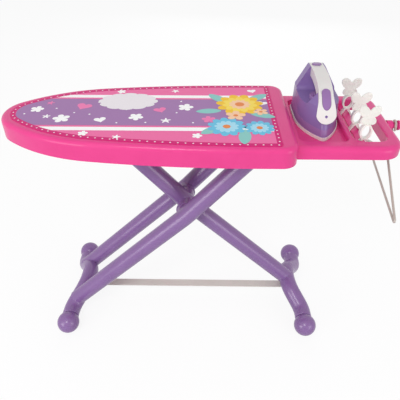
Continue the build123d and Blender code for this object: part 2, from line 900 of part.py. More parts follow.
def button_solid(name, grow):
    """A rounded button that follows the handle line, or its pocket when grown."""
    y, length, width, proud = button_places()[name]
    radius = min(length, width) / 2 - seat_gap
    outline = RectangleRounded(width + 2 * grow, length + 2 * grow, radius + grow)
    column = iron_column(Location((iron_x, y)) * outline)
    rise = overrun if grow else proud
    drop = button_depth + (button_travel + grow if grow else 0)
    solid = column & below_handle_line(-rise, iron_half_width)
    solid -= below_handle_line(drop, iron_half_width + overrun)
    end = stem_end(name) - (spring_height if grow else 0)
    top = handle_height(y) - button_depth / 2
    return solid + rod((iron_x, y, end), (iron_x, y, top), button_stem_radius + grow)


def button_spring(name):
    """A compression spring under a button's stem."""
    y = button_places()[name][0]
    height = spring_height - 2 * spring_wire_radius
    line = Helix(pitch=height / spring_turns, height=height, radius=spring_radius)
    wire = sweep(
        Plane(origin=line @ 0, z_dir=line % 0) * Circle(spring_wire_radius), path=line
    )
    bottom = stem_end(name) - spring_height + spring_wire_radius
    return Location((iron_x, y, bottom)) * wire


def nozzle_line(grow):
    """The nozzle's start and end on its axis, and its radius, in the nose of the handle."""
    points = handle_points(0)
    height = iron_base_z + nozzle_height_share * iron_height
    first, second = points[0], points[1]
    share = (height - first[2]) / (second[2] - first[2])
    y = first[1] + share * (second[1] - first[1])
    along = Vector(
        0, -math.cos(math.radians(nozzle_tilt)), math.sin(math.radians(nozzle_tilt))
    )
    tip = Vector(iron_x, y, height) + along * (overrun if grow else nozzle_proud)
    return Vector(iron_x, y, height) - along * nozzle_length, tip, nozzle_radius + grow


def iron_spray_nozzle():
    """The small round nozzle in the nose, with its blind bore."""
    start, tip, radius = nozzle_line(0)
    return rod(start, tip, radius) - rod((start + tip) / 2, tip, nozzle_bore_radius)


def iron_screw_lines():
    """Each screw's head seat and direction: three across the halves, four up from the sole."""
    across = [
        (iron_screw_front_y, iron_screw_low), (iron_screw_rear_y, iron_screw_low),
        (iron_screw_rear_y, iron_screw_high),
    ]
    lines = [
        (Vector(iron_x + iron_screw_seat, y, iron_base_z + z), Vector(-1, 0, 0))
        for y, z in across
    ]
    for side in (-1, 1):
        for y in (iron_screw_front_y, iron_screw_rear_y):
            seat = iron_base_z + iron_screw_head_height + seat_gap
            lines.append((Vector(iron_x + side * iron_screw_offset, y, seat), Vector(0, 0, 1)))
    return lines


def iron_screws():
    """All the iron's screws as one group."""
    group = []
    for seat, along in iron_screw_lines():
        shank = rod(seat, seat + along * iron_screw_length, iron_screw_radius)
        head = rod(seat - along * iron_screw_head_height, seat, iron_screw_head_radius)
        group.append(shank + head)
    return Compound(group)


def without_screws(shape):
    """A piece of the iron with its screw holes and counterbores."""
    for seat, along in iron_screw_lines():
        shape -= rod(
            seat, seat + along * (iron_screw_length + seat_gap),
            iron_screw_radius + running_clearance,
        )
        shape -= rod(seat - along * overrun, seat, iron_screw_head_radius + seat_gap)
    return shape


def dial_cut():
    """The bore for the dial's spindle."""
    floor = iron_base_z + grip_floor_height
    return rod(
        (iron_x, dial_y, floor - dial_spindle_length - seat_gap), (iron_x, dial_y, floor + overrun),
        dial_spindle_radius + running_clearance,
    )


def iron_dial():
    """The round dial under the handle, with a grip bar across it and a spindle below."""
    floor = iron_base_z + grip_floor_height
    low, high = floor + seat_gap, floor + seat_gap + dial_height
    dial = rod((iron_x, dial_y, low), (iron_x, dial_y, high), dial_radius)
    dial = fillet(top_edges(dial, high), dial_edge_radius)
    half = dial_grip_width / 2
    reach = dial_radius - half
    top = high + dial_grip_height
    dial += block((iron_x - reach, dial_y - half, high), (iron_x + reach, dial_y + half, top))
    return dial + rod(
        (iron_x, dial_y, floor - dial_spindle_length), (iron_x, dial_y, low), dial_spindle_radius
    )


def iron_pieces():
    """Every piece of the toy iron."""
    band = handle_band()
    body = iron_envelope() & below_handle_line(0, iron_half_width + overrun)
    body = body - grip_cut() - band - dial_cut()
    handle = band
    for name in button_places():
        handle -= button_solid(name, button_gap)
        body -= button_solid(name, button_gap)
    bore = rod(*nozzle_line(running_clearance))
    body = without_screws(body - bore)
    span = iron_half_width + overrun
    low, high = iron_base_z - overrun, iron_base_z + iron_height + overrun
    left = body & block((iron_x - span, -2 * span, low), (iron_x, 2 * span, high))
    right = body & block((iron_x, -2 * span, low), (iron_x + span, 2 * span, high))
    return {
        "iron_soleplate": without_screws(iron_soleplate()),
        "iron_skirt": without_screws(iron_skirt()),
        "iron_body_left": left,
        "iron_body_right": right,
        "iron_handle": without_screws(handle - bore),
        "iron_dial": iron_dial(),
        "iron_thumb_button": button_solid("thumb", 0),
        "iron_spray_button": button_solid("spray", 0),
        "iron_spray_nozzle": iron_spray_nozzle(),
        "iron_thumb_spring": button_spring("thumb"),
        "iron_spray_spring": button_spring("spray"),
        "iron_screws": iron_screws(),
    }


def wing(x, z, length, height, tilt):
    """One oval wing and its mirror image."""
    oval = Location((x, z)) * Rotation(0, 0, tilt) * Ellipse(length, height)
    return oval + mirror(oval, about=Plane.YZ)


def butterfly_clip(y):
    """A peg that straddles the rail: two legs, a loop and a butterfly on top."""
    inner = rail_width / 2 + seat_gap
    outer = inner + clip_strip
    profile = Sketch()
    for side in (-1, 1):
        leg = [
            (inner, -clip_leg_drop), (outer, -clip_leg_drop), (outer, -clip_seat_drop),
            (clip_neck_half_gap + clip_strip, clip_neck_height),
            (clip_neck_half_gap, clip_neck_height - clip_seat_drop), (inner, -clip_seat_drop),
        ]
        profile += make_face(Polyline(*[(side * px, pz) for px, pz in leg], close=True))
    ring_z = clip_neck_height + clip_ring_half_height
    ring = Ellipse(clip_ring_half_width + clip_strip, clip_ring_half_height + clip_strip)
    ring -= Ellipse(clip_ring_half_width, clip_ring_half_height)
    profile += Location((0, ring_z)) * ring
    centre = ring_z + clip_ring_half_height + clip_strip + butterfly_rise
    flyer = wing(
        upper_wing_spread, centre + upper_wing_rise, upper_wing_length, upper_wing_height,
        upper_wing_tilt,
    )
    flyer += wing(
        lower_wing_spread, centre - lower_wing_drop, lower_wing_length, lower_wing_height,
        lower_wing_tilt,
    )
    flyer += Location((0, centre - butterfly_rise / 4)) * Ellipse(
        butterfly_body_half_width, butterfly_body_half_height + butterfly_rise / 4
    )
    upright = Plane(origin=(rail_x, y, rail_top), x_dir=(1, 0, 0), z_dir=(0, -1, 0))
    frame = extrude(upright * profile, clip_depth / 2, both=True)
    return frame + extrude(upright * flyer, wing_depth / 2, both=True)


def clothes_hanger():
    """A wire hanger: a closed triangle, a neck and a hook over the peg's groove."""
    turn = math.radians(hanger_turn)
    upright = Plane(
        origin=(hanger_plane_x, 0, 0), x_dir=(math.sin(turn), math.cos(turn), 0),
        z_dir=(math.cos(turn), -math.sin(turn), 0),
    )
    rise = hanger_half_span * math.tan(math.radians(hanger_shoulder_angle))
    apex_z = hanger_bar_z + rise
    frame = FilletPolyline(
        (-hanger_half_span, hanger_bar_z), (hanger_half_span, hanger_bar_z), (0, apex_z),
        radius=hanger_corner_radius, close=True,
    )
    frame = upright * frame
    wire = Circle(hanger_wire_radius)
    shape = sweep(Plane(origin=frame @ 0, z_dir=frame % 0) * wire, path=frame)
    hook_radius = hook_inner_radius - hook_rest_gap / 2 + hanger_wire_radius
    hook_z = peg_z + peg_radius + hook_rest_gap + hanger_wire_radius - hook_radius
    between = hook_turn_radius + hook_radius
    neck_rise = math.sqrt(between ** 2 - hook_turn_radius ** 2)
    lean = math.degrees(math.atan2(neck_rise, hook_turn_radius))
    neck = Line((0, apex_z - hanger_wire_radius), (0, hook_z - neck_rise))
    bend = JernArc(start=neck @ 1, tangent=(0, 1), radius=hook_turn_radius, arc_size=-lean)
    hook = JernArc(
        start=bend @ 1, tangent=bend % 1, radius=hook_radius, arc_size=lean + hook_end_angle
    )
    path = upright * Wire((Curve() + [neck, bend, hook]).edges())
    shape += sweep(Plane(origin=path @ 0, z_dir=path % 0) * wire, path=path)
    return shape + Location(path @ 1) * Sphere(hanger_wire_radius)


def board_pieces():
    """The board, its cover and peg, and the ironwork under it."""
    brackets, rails = screw_places()
    pieces = {
        "board_shell": board_shell(),
        "printed_cover": printed_cover(),
        "hanger_peg": hanger_peg(),
        "hinge_axle": cross_rod(hinge_x, hinge_z, -axle_half_length, axle_half_length, axle_radius),
        "bracket_screws": screws(brackets),
        "rail_screws": screws(rails),
    }
    for name, side in both_sides.items():
        pieces[f"hinge_bracket_{name}"] = hinge_bracket(side)
        pieces[f"slide_rail_{name}"] = slide_rail(side)
    return pieces


def leg_pieces():
    """Both leg frames and the strap between them."""
    outer_bar, inner_bar = outer_foot_bar(), inner_foot_bar()
    pieces = {
        "outer_foot_bar": outer_bar,
        "inner_foot_bar": inner_bar,
        "inner_leg": inner_leg(inner_bar),
        "inner_slide_bar": cross_rod(
            slide_x, hinge_z, -slide_bar_half_length, slide_bar_half_length, slide_bar_radius
        ),
        "pivot_pin": cross_rod(
            pivot_x, pivot_z, -pivot_pin_half_length, pivot_pin_half_length, pivot_pin_radius
        ),
        "strap_pin": strap_pin(),
        "strap_stud": strap_stud(),
        "link_strap": link_strap(),
    }
    for name, side in both_sides.items():
        pieces[f"outer_leg_{name}"] = outer_leg(side, outer_bar)
        pieces[f"outer_ball_foot_{name}"] = ball_foot(-1, side)
        pieces[f"inner_ball_foot_{name}"] = ball_foot(1, side)
    return pieces


def main():
    """Build every piece and write each to its own STEP file."""
    os.makedirs("parts", exist_ok=True)
    pieces = {**board_pieces(), **leg_pieces(), **iron_pieces()}
    for name, y in clip_places.items():
        pieces[f"clip_{name}"] = butterfly_clip(y)
    pieces["clothes_hanger"] = clothes_hanger()
    for name, shape in pieces.items():
        export_step(shape, f"parts/{name}.step")


if __name__ == "__main__":
    main()
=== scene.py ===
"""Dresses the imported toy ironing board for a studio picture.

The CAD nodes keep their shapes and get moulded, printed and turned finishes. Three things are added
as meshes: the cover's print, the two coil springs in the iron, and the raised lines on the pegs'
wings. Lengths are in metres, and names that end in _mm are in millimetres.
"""

from __future__ import annotations

import logging
import math
from dataclasses import dataclass, field
from enum import Enum, IntEnum
from typing import Any, Mapping, Sequence

import bpy
import numpy as np
from mathutils import Matrix, Vector

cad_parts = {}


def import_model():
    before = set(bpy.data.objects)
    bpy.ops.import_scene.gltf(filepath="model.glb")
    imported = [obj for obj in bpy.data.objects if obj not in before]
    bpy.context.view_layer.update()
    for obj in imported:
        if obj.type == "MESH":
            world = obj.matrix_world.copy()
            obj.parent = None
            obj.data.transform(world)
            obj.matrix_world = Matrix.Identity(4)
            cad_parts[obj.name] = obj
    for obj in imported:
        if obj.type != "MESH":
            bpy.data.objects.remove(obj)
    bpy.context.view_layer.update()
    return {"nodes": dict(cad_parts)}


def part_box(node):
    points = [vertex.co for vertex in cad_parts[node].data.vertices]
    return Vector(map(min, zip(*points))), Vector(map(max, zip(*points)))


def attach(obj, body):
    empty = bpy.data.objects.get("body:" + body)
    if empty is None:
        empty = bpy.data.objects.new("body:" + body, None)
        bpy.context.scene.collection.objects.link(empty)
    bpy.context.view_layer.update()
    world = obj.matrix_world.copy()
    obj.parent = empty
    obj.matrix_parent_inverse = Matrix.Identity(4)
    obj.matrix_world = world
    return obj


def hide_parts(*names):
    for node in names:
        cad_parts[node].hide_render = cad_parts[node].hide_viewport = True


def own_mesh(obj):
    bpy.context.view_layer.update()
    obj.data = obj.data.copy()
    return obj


log = logging.getLogger("toy_ironing_board")
MM = 0.001
FULL_TURN = 2 * math.pi
FULL_WHITE = (1.0, 1.0, 1.0, 1.0)

# The numbers of sockets that share a name: the colour mixer's factor, two colours and result, and
# the shader mixer's factor and two shaders.
MIX_FACTOR, MIX_FIRST, MIX_SECOND, MIX_RESULT = 0, 6, 7, 2
BLEND_FACTOR, BLEND_FIRST, BLEND_SECOND = 0, 1, 2


def linear(hex_colour: str) -> tuple[float, float, float, float]:
    """Turns an sRGB hex colour into the linear values that a shader takes.

    A channel up to the curve's knee is divided by its slope there, and one above it follows the
    curve's power.

    Args:
        hex_colour: Six hex digits after a hash sign.

    Returns:
        Red, green and blue, and a full alpha.
    """
    knee, slope, offset, power = 0.04045, 12.92, 0.055, 2.4
    shares = np.array([int(hex_colour[i:i + 2], 16) for i in (1, 3, 5)]) / 255
    above = ((shares + offset) / (1 + offset)) ** power
    red, green, blue = np.where(shares <= knee, shares / slope, above).tolist()
    return red, green, blue, 1.0


def add_node(
    tree: bpy.types.NodeTree,
    kind: str,
    settings: Mapping[Any, Any] | None = None,
    links: Mapping[Any, bpy.types.NodeSocket] | None = None,
) -> bpy.types.Node:
    """Adds one shader node with its settings and links.

    Args:
        tree: The node tree that the node goes into.
        kind: The node's type name.
        settings: Property names, or input names or numbers, and their values.
        links: Input names or numbers, and the output sockets that feed them.

    Returns:
        The new node.
    """
    node = tree.nodes.new(kind)
    for name, value in (settings or {}).items():
        if isinstance(name, str) and hasattr(node, name):
            setattr(node, name, value)
        else:
            node.inputs[name].default_value = value
    for name, socket in (links or {}).items():
        tree.links.new(socket, node.inputs[name])
    return node


def new_material(name: str) -> tuple[bpy.types.Material, bpy.types.NodeTree]:
    """Makes an empty node material.

    Args:
        name: The material's name.

    Returns:
        The material and its node tree.
    """
    material = bpy.data.materials.new(name)
    material.use_nodes = True
    material.node_tree.nodes.clear()
    return material, material.node_tree


@dataclass(frozen=True)
class MouldedPlastic:
    """Injection- or blow-moulded plastic: one colour through, with a glossy skin.

    The skin waves by a fraction of a millimetre every few centimetres, as a wall that shrank
    unevenly does. That makes the reflections wander, and the tone is a little deeper on the waves:
    it starts to deepen at the first of the noise values in deepening_waves and has done so at the
    second. The skin has a fine orange peel too. Real peel is about 1 mm across, too fine to show,
    so it is drawn at 3 mm.
    """

    name: str
    colour: str
    deep_colour: str
    roughness: float = 0.24
    specular: float = 0.5
    ior: float = 1.49
    translucency: float = 0.06
    scatter_mm: tuple[float, float, float] = (4.0, 2.0, 3.0)
    scatter_scale: float = 0.5
    wave_mm: float = 46.0
    wave_depth_mm: float = 0.35
    wave_strength: float = 0.4
    peel_mm: float = 3.0
    peel_depth_mm: float = 0.003
    peel_strength: float = 1.0
    noise_detail: float = 2.0
    deepening_waves: tuple[float, float] = (0.35, 0.75)
    deepest_tone: float = 0.55
    roughness_spread: tuple[float, float] = (-0.02, 0.03)

    def build(self) -> bpy.types.Material:
        """Builds the material's nodes.

        Returns:
            The new material.
        """
        material, tree = new_material(self.name)
        place = add_node(tree, "ShaderNodeTexCoord").outputs["Object"]
        wave, peel = (
            add_node(
                tree, "ShaderNodeTexNoise",
                {"Scale": 1 / (width_mm * MM), "Detail": self.noise_detail}, {"Vector": place},
            ).outputs["Fac"]
            for width_mm in (self.wave_mm, self.peel_mm)
        )
        start, full = self.deepening_waves
        tone = add_node(
            tree, "ShaderNodeMapRange",
            {"From Min": start, "From Max": full, "To Min": 0.0, "To Max": self.deepest_tone},
            {"Value": wave},
        )
        colour = add_node(
            tree, "ShaderNodeMix",
            {
                "data_type": "RGBA",
                MIX_FIRST: linear(self.colour), MIX_SECOND: linear(self.deep_colour),
            },
            {MIX_FACTOR: tone.outputs["Result"]},
        )
        glossier, duller = self.roughness_spread
        rough = add_node(
            tree, "ShaderNodeMapRange",
            {"To Min": self.roughness + glossier, "To Max": self.roughness + duller},
            {"Value": wave},
        )
        waved = add_node(
            tree, "ShaderNodeBump",
            {"Distance": self.wave_depth_mm * MM, "Strength": self.wave_strength},
            {"Height": wave},
        )
        peeled = add_node(
            tree, "ShaderNodeBump",
            {"Distance": self.peel_depth_mm * MM, "Strength": self.peel_strength},
            {"Height": peel, "Normal": waved.outputs["Normal"]},
        )
        shader = add_node(
            tree, "ShaderNodeBsdfPrincipled",
            {
                "IOR": self.ior, "Specular IOR Level": self.specular,
                "Subsurface Weight": self.translucency,
                "Subsurface Radius": tuple(reach * MM for reach in self.scatter_mm),
                "Subsurface Scale": self.scatter_scale,
            },
            {
                "Base Color": colour.outputs[MIX_RESULT], "Roughness": rough.outputs["Result"],
                "Normal": peeled.outputs["Normal"],
            },
        )
        add_node(tree, "ShaderNodeOutputMaterial", None, {"Surface": shader.outputs["BSDF"]})
        return material


@dataclass(frozen=True)
class PrintedFilm:
    """Screen-printed ink on a satin vinyl sheet: flat colour, a low sheen and a fine grain.

    The screen's mesh is about 0.2 mm on the real thing, too fine to show, so the grain is drawn at
    1.6 mm.
    """

    name: str
    colour: str
    roughness: float = 0.38
    specular: float = 0.15
    ior: float = 1.53
    grain_mm: float = 1.6
    grain_detail: float = 3.0
    grain_depth_mm: float = 0.02
    grain_strength: float = 0.5
    unevenness: float = 0.06

    def build(self) -> bpy.types.Material:
        """Builds the material's nodes.

        Returns:
            The new material.
        """
        material, tree = new_material(self.name)
        place = add_node(tree, "ShaderNodeTexCoord").outputs["Object"]
        grain = add_node(
            tree, "ShaderNodeTexNoise",
            {"Scale": 1 / (self.grain_mm * MM), "Detail": self.grain_detail}, {"Vector": place},
        ).outputs["Fac"]
        brightness = add_node(
            tree, "ShaderNodeMapRange",
            {"To Min": 1 - self.unevenness, "To Max": 1 + self.unevenness}, {"Value": grain},
        )
        ink = add_node(
            tree, "ShaderNodeHueSaturation", {"Color": linear(self.colour)},
            {"Value": brightness.outputs["Result"]},
        )
        bump = add_node(
            tree, "ShaderNodeBump",
            {"Distance": self.grain_depth_mm * MM, "Strength": self.grain_strength},
            {"Height": grain},
        )
        shader = add_node(
            tree, "ShaderNodeBsdfPrincipled",
            {"Roughness": self.roughness, "IOR": self.ior, "Specular IOR Level": self.specular},
            {"Base Color": ink.outputs["Color"], "Normal": bump.outputs["Normal"]},
        )
        add_node(tree, "ShaderNodeOutputMaterial", None, {"Surface": shader.outputs["BSDF"]})
        return material


@dataclass(frozen=True)
class TurnedSteel:
    """Zinc-plated steel, turned or rolled: a grey mirror that fine marks make uneven.

    The tool's marks are about 0.05 mm apart on the real thing, too fine to show, so they are drawn
    at 0.8 mm.
    """

    name: str
    colour: str = "#C9CBD0"
    roughness: float = 0.3
    roughness_spread: tuple[float, float] = (-0.08, 0.1)
    mark_mm: float = 0.8
    mark_detail: float = 2.0

    def build(self) -> bpy.types.Material:
        """Builds the material's nodes.

        Returns:
            The new material.
        """
        material, tree = new_material(self.name)
        place = add_node(tree, "ShaderNodeTexCoord").outputs["Object"]
        marks = add_node(
            tree, "ShaderNodeTexNoise",
            {"Scale": 1 / (self.mark_mm * MM), "Detail": self.mark_detail}, {"Vector": place},
        )
        glossier, duller = self.roughness_spread
        rough = add_node(
            tree, "ShaderNodeMapRange",
            {"To Min": self.roughness + glossier, "To Max": self.roughness + duller},
            {"Value": marks.outputs["Fac"]},
        )
        shader = add_node(
            tree, "ShaderNodeBsdfPrincipled", {"Base Color": linear(self.colour), "Metallic": 1.0},
            {"Roughness": rough.outputs["Result"]},
        )
        add_node(tree, "ShaderNodeOutputMaterial", None, {"Surface": shader.outputs["BSDF"]})
        return material


AnyFinish = MouldedPlastic | PrintedFilm | TurnedSteel


class Finish(Enum):
    """Every finish on the object, apart from the print's inks."""

    # A strong pink all through, whose soft gloss shows along edges and in corners.
    BOARD_PINK = MouldedPlastic("pink moulded polypropylene", "#E2428B", "#DA3A83", specular=0.28)
    # A flat magenta with hardly a sheen, which is seen as the print's border.
    COVER_SHEET = PrintedFilm("magenta printed vinyl sheet", "#D21274")
    # A waxy purple that gives each tube one long soft highlight.
    LEG_PURPLE = MouldedPlastic(
        "purple blow-moulded polyethylene", "#86649B", "#7D5B91", roughness=0.26, ior=1.51
    )
    # A light purple with small clear highlights on the iron's rounded pieces.
    IRON_PURPLE = MouldedPlastic(
        "purple moulded ABS", "#946EA6", "#8A649C", roughness=0.2, specular=0.36, ior=1.54
    )
    # The same skin on a bluer purple, which sets the iron's body off from its skirt.
    IRON_DEEP = MouldedPlastic(
        "deep purple moulded ABS", "#846AA4", "#7B619B", roughness=0.2, specular=0.3, ior=1.54
    )
    # A plain white, glossy enough for the handle's curve to show in its reflections.
    IRON_WHITE = MouldedPlastic(
        "white moulded ABS", "#E2DEDC", "#DAD5D4", roughness=0.22, specular=0.44, ior=1.54
    )
    # A white polished in its mould, which mirrors the pink of the tray round the sole. Its white is
    # lighter than the handle's: painted light that brightens the sole's shaded edge.
    SOLE_WHITE_PAINTED_LIGHT = MouldedPlastic(
        "glossy white moulded ABS lightened as painted light", "#ECE8E6", "#E6E1E0", roughness=0.1, specular=0.9, ior=1.54,
        peel_depth_mm=0.001,
    )
    # A milky white that dulls its reflections and lets a little light into the wings.
    CLIP_WHITE = MouldedPlastic(
        "milky moulded polypropylene", "#E8E7E1", "#DFDDD7", roughness=0.35, translucency=0.05
    )
    # A pale grey with a dull sheen, as a strap that has to bend has.
    PALE_GREY = MouldedPlastic(
        "pale grey moulded polypropylene", "#D4CCC6", "#CAC1BB", roughness=0.35
    )
    # A grey between stone and sand, with a clear gloss along the hanger's thin rod.
    WARM_GREY = MouldedPlastic(
        "warm grey moulded polystyrene", "#BDB2AA", "#B3A79F", roughness=0.3, ior=1.59
    )
    # A cool grey that gives screw heads, springs and the axle their bright spots.
    STEEL = TurnedSteel("zinc-plated steel")


@dataclass
class Wardrobe:
    """Builds each finish once and puts it on CAD nodes and new pieces."""

    built: dict[str, bpy.types.Material] = field(default_factory=dict)

    def material(self, finish: AnyFinish) -> bpy.types.Material:
        """Finds a finish's material, and builds it the first time.

        Args:
            finish: The finish wanted.

        Returns:
            Its material.
        """
        if finish.name not in self.built:
            self.built[finish.name] = finish.build()
        return self.built[finish.name]

    def dress(self, piece: bpy.types.Object, finish: AnyFinish) -> None:
        """Puts a finish on the whole of a piece.

        Args:
            piece: The object to dress.
            finish: The finish it gets.
        """
        piece.data.materials.clear()
        piece.data.materials.append(self.material(finish))


def mesh_piece(
    name: str, points: np.ndarray, faces: np.ndarray, smooth: bool = False
) -> bpy.types.Object:
    """Makes a mesh object from arrays.

    Args:
        name: The piece's name.
        points: One row of x, y, z for each vertex.
        faces: One row of vertex numbers for each face.
        smooth: Whether the faces are shaded smooth.

    Returns:
        The new object, linked to the scene.
    """
    mesh = bpy.data.meshes.new(name)
    mesh.from_pydata(points.tolist(), [], faces.tolist())
    mesh.update()
    if smooth:
        mesh.polygons.foreach_set("use_smooth", np.ones(len(mesh.polygons), bool))
    piece = bpy.data.objects.new(name, mesh)
    bpy.context.scene.collection.objects.link(piece)
    return piece


def skin_triangles(rings: int, points_round: int, closed: bool = False) -> np.ndarray:
    """Joins the points of a skin that go round a profile, ring after ring along a path.

    Args:
        rings: How many profiles stand along the path.
        points_round: How many points each profile has.
        closed: Whether the last ring joins the first.

    Returns:
        Triangles that face outwards where the profile turns from its first axis to its second and
        the path runs along the first axis crossed with the second.
    """
    ring, place = np.meshgrid(
        np.arange(rings if closed else rings - 1), np.arange(points_round), indexing="ij"
    )
    next_ring, next_place = (ring + 1) % rings, (place + 1) % points_round
    here, beside = (ring * points_round + p for p in (place, next_place))
    onward, across = (next_ring * points_round + p for p in (place, next_place))
    return np.concatenate((
        np.column_stack((here.ravel(), beside.ravel(), across.ravel())),
        np.column_stack((here.ravel(), across.ravel(), onward.ravel())),
    ))


def strip_between(right: np.ndarray, left: np.ndarray) -> tuple[np.ndarray, np.ndarray]:
    """Joins two rows of points by quads.

    Args:
        right: The row on the right, seen along the rows.
        left: The row on the left, with as many points.

    Returns:
        The points of both rows, and the quads, which face the viewer who sees them so.
    """
    count = len(right)
    first = np.arange(count - 1)
    faces = np.column_stack((first, first + 1, first + 1 + count, first + count))
    return np.concatenate((right, left)), faces


def turned_axes(degrees: float) -> np.ndarray:
    """Works out the matrix that turns rows of x, y counterclockwise when they are multiplied by it.

    Args:
        degrees: How far it turns them.

    Returns:
        The matrix, whose rows are the turned x axis and the turned y axis.
    """
    turn = math.radians(degrees)
    return np.array([[math.cos(turn), math.sin(turn)], [-math.sin(turn), math.cos(turn)]])


@dataclass(frozen=True)
class Petals:
    """A line whose radius swells and shrinks evenly round its middle: petals, rays or lobes.

    The radius at a turn is waist + (1 - waist) |cos(count turn / 2)| ** sharpness.
    """

    count: int
    waist: float
    sharpness: float

    def line(self, turn: np.ndarray) -> np.ndarray:
        """Works out the line's points.

        Args:
            turn: The angles round its middle.

        Returns:
            One row of x, y for each angle.
        """
        swell = np.abs(np.cos(self.count * turn / 2)) ** self.sharpness
        reach = self.waist + (1 - self.waist) * swell
        return np.column_stack((reach * np.cos(turn), reach * np.sin(turn)))


@dataclass(frozen=True)
class Heart:
    """The usual heart: a cubed sine across, and a sum of cosines of one to four turns up."""

    half_width: float = 16.0
    cosines: tuple[float, ...] = (13.0, -5.0, -2.0, -1.0)

    def line(self, turn: np.ndarray) -> np.ndarray:
        """Works out the heart's points.

        Args:
            turn: The angles of its formula.

        Returns:
            One row of x, y for each angle, counterclockwise.
        """
        across = -self.half_width * np.sin(turn) ** 3
        up = sum(size * np.cos(number * turn) for number, size in enumerate(self.cosines, start=1))
        return np.column_stack((across, up)) / self.half_width


@dataclass(frozen=True)
class Leaf:
    """A slim ellipse, whose sine is raised to a power above one so that its ends are points."""

    slimness: float = 0.42
    power: float = 1.4

    def line(self, turn: np.ndarray) -> np.ndarray:
        """Works out the leaf's points.

        Args:
            turn: The angles of its formula.

        Returns:
            One row of x, y for each angle.
        """
        sine = np.sin(turn)
        up = self.slimness * np.sign(sine) * np.abs(sine) ** self.power
        return np.column_stack((np.cos(turn), up))


class Motif(Enum):
    """The shapes that the cover's print is made of. Each is one closed line round its middle."""

    FLOWER = Petals(count=5, waist=0.42, sharpness=0.55)
    BLOSSOM = Petals(count=11, waist=0.74, sharpness=0.7)
    STAR = Petals(count=5, waist=0.42, sharpness=3.2)
    CLOUD = Petals(count=12, waist=0.9, sharpness=0.6)
    DOT = Petals(count=1, waist=1.0, sharpness=1.0)
    HEART = Heart()
    LEAF = Leaf()

    def outline(self, points: int) -> np.ndarray:
        """Spreads points round the motif, counterclockwise and about one unit from its middle.

        Args:
            points: How many points.

        Returns:
            One row of x, y for each point.
        """
        return self.value.line(np.linspace(0, FULL_TURN, points, endpoint=False))


class Ink(Enum):
    """The print's colours, as sRGB hex."""

    WHITE = "#FFFFFF"
    BAND_PINK = "#F070A8"
    FIELD_PURPLE = "#A378AD"
    DOT_ROSE = "#FBE6F0"
    MOTIF_PINK = "#F07DB4"
    PLAQUE_SILVER = "#EFE9EE"
    LEAF_GREEN = "#8CCBC6"
    SKY = "#6CC3E4"
    PALE_SKY = "#A9DEF2"
    GOLD = "#F6C62F"
    PALE_GOLD = "#FBDD5C"
    PEACH = "#FBCDA8"
    ORANGE = "#E98A4B"


class Layer(IntEnum):
    """The order in which the films lie on the sheet, from the lowest up."""

    BANDS = 1
    STRIPES = 2
    MOTIFS = 3
    PLAQUE_AND_LEAVES = 4
    PETALS = 5
    INNER_PETALS = 6
    SMALL_BLOSSOMS = 7
    CENTRES = 8


@dataclass(frozen=True)
class Stamp:
    """One motif on the cover: where its middle is, how far it reaches from there, and its turn."""

    motif: Motif
    x_mm: float
    y_mm: float
    reach_mm: float
    turn_deg: float = 0.0
    stretch: float = 1.0

    def fan_mm(self, points: int) -> np.ndarray:
        """Works out the motif's points on the sheet, with its line stretched, scaled and turned.

        Args:
            points: How many points the line has.

        Returns:
            The motif's middle and then its line, in millimetres.
        """
        line = self.motif.outline(points) * (self.stretch, 1.0) * self.reach_mm
        fan = np.concatenate((np.zeros((1, 2)), line @ turned_axes(self.turn_deg)))
        return fan + (self.x_mm, self.y_mm)


@dataclass(frozen=True)
class Run:
    """The motifs that one ink prints in one go."""

    name: str
    layer: Layer
    ink: Ink
    stamps: Sequence[Stamp]
    points_each: int = 120


SEED_REACH_MM = 1.9
SEED_PLACES_MM = (
    (-336, -12), (-282, 12), (-244, -6), (-214, -12), (-206, 40), (-158, -46), (-148, 8),
    (-106, -44), (-100, 34), (-52, -4), (-46, 46), (-20, -44), (-2, 6), (30, 40),
)

LOOSE_MOTIFS = (
    Run("print_white_motifs", Layer.MOTIFS, Ink.WHITE, (
        Stamp(Motif.FLOWER, -318, 8, 13, 10), Stamp(Motif.FLOWER, -262, -30, 16, 35),
        Stamp(Motif.STAR, -292, -22, 8, 90), Stamp(Motif.STAR, -70, -36, 10, 20),
        Stamp(Motif.FLOWER, -126, -22, 14, 60), Stamp(Motif.FLOWER, -36, 20, 15, 5),
        Stamp(Motif.HEART, -190, -34, 11, 20), Stamp(Motif.HEART, 112, 40, 10, -15),
        Stamp(Motif.FLOWER, -12, -92, 9, 0), Stamp(Motif.STAR, -60, 96, 8, 50),
        Stamp(Motif.FLOWER, -210, -86, 9, 15), Stamp(Motif.HEART, 96, 98, 9, 10),
        Stamp(Motif.STAR, -150, -98, 8, 10), Stamp(Motif.FLOWER, -170, 92, 9, 40),
    )),
    Run("print_pink_motifs", Layer.MOTIFS, Ink.MOTIF_PINK, (
        Stamp(Motif.HEART, -232, 22, 15, -18), Stamp(Motif.HEART, -84, 8, 12, 22),
        Stamp(Motif.FLOWER, 8, -30, 13, 25), Stamp(Motif.STAR, -300, 36, 8, 10),
    )),
    Run("print_seeds", Layer.MOTIFS, Ink.WHITE, tuple(
        Stamp(Motif.DOT, x, y, SEED_REACH_MM) for x, y in SEED_PLACES_MM
    ), points_each=24),
    Run("print_plaque", Layer.PLAQUE_AND_LEAVES, Ink.PLAQUE_SILVER, (
        Stamp(Motif.CLOUD, -150, 46, 39, stretch=1.5),
    )),
)

